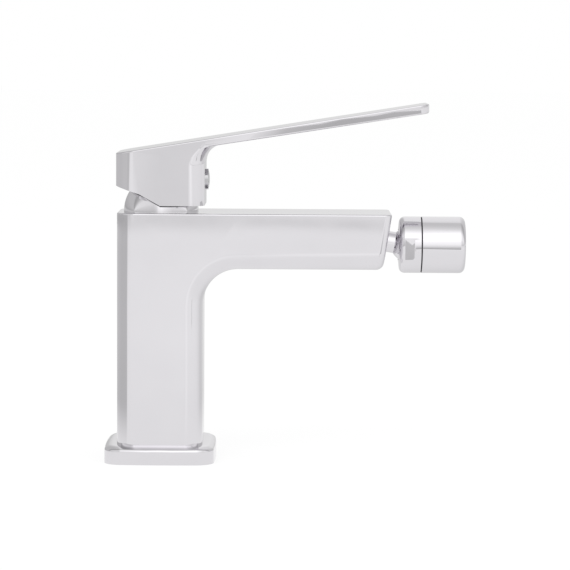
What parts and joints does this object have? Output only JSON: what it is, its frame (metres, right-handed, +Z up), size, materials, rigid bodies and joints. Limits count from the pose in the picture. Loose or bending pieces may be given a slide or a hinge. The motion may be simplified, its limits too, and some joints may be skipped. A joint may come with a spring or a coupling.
{
  "type": "bidet mixer",
  "caption": "Chrome lever bidet mixer: square column on a domed base plate, straight spout, handle that lifts and turns a ceramic cartridge, and a ball-jointed nozzle with aerator.",
  "frame": {"origin": "middle of the base plate's underside, on the column's axis", "axes": "+X along the spout, +Z up the column, +Y to the left of the user who faces the spout's rear"},
  "size_m": [0.1597, 0.0494, 0.1588],
  "materials": {
    "chrome": "polished",
    "chromed_brass": "polished",
    "plug_chrome": "polished",
    "brass": "satin",
    "steel": "satin",
    "ceramic": "satin",
    "dark_plastic": "matte",
    "grey_plastic": "satin",
    "white_plastic": "satin",
    "rubber": "matte"
  },
  "bodies": {
    "root": {"base_plate": "chrome", "base_gasket": "rubber", "body_casting": "chrome", "cartridge_base": "dark_plastic", "inlet_seals": "rubber", "disc_seals": "rubber", "fixed_disc": "ceramic", "cartridge_housing": "grey_plastic", "housing_seal": "rubber", "retaining_nut": "brass", "dome_cover": "chrome", "ball_nipple": "chromed_brass", "outlet_seal": "rubber"},
    "carrier": {"stem_carrier": "grey_plastic", "stem_pin": "steel"},
    "lever": {"stem": "steel", "handle": "chrome", "handle_screw": "steel", "index_plug": "plug_chrome"},
    "disc": {"disc_driver": "white_plastic", "moving_disc": "ceramic"},
    "ball_pitch": {"ball_seat": "white_plastic"},
    "ball_yaw": {"ball_seal": "rubber"},
    "nozzle": {"swivel_collar": "chromed_brass", "nozzle_sleeve": "chromed_brass", "aerator_gasket": "rubber", "aerator_housing": "grey_plastic", "aerator_jet_plate": "white_plastic", "aerator_screen": "steel", "aerator_spacer": "white_plastic", "aerator_grid": "white_plastic"}
  },
  "joints": [
    {"name": "handle_turn", "type": "hinge", "parent": "root", "child": "carrier", "pos_m": [0, 0, 0.1104], "axis": [0, 0, 1], "range_deg": [-50, 50]},
    {"name": "handle_lift", "type": "hinge", "parent": "carrier", "child": "lever", "pos_m": [0, 0, 0.1104], "axis": [0, -1, 0], "range_deg": [0, 25]},
    {"name": "disc_slide", "type": "slide", "parent": "carrier", "child": "disc", "axis": [1, 0, 0], "range_m": [0, 0.0047]},
    {"name": "nozzle_pitch", "type": "hinge", "parent": "root", "child": "ball_pitch", "pos_m": [0.10958, 0, 0.09598], "axis": [0, -1, 0], "range_deg": [-24, 6]},
    {"name": "nozzle_yaw", "type": "hinge", "parent": "ball_pitch", "child": "ball_yaw", "pos_m": [0.10958, 0, 0.09598], "axis": [0, 0, 1], "range_deg": [-15, 15]},
    {"name": "nozzle_spin", "type": "hinge", "parent": "ball_yaw", "child": "nozzle", "pos_m": [0.10958, 0, 0.09598], "axis": [1, 0, 0], "continuous": true}
  ],
  "couplings": [
    {"joint": "disc_slide", "follows": "handle_lift", "m_per_rad": 0.010654}
  ]
}
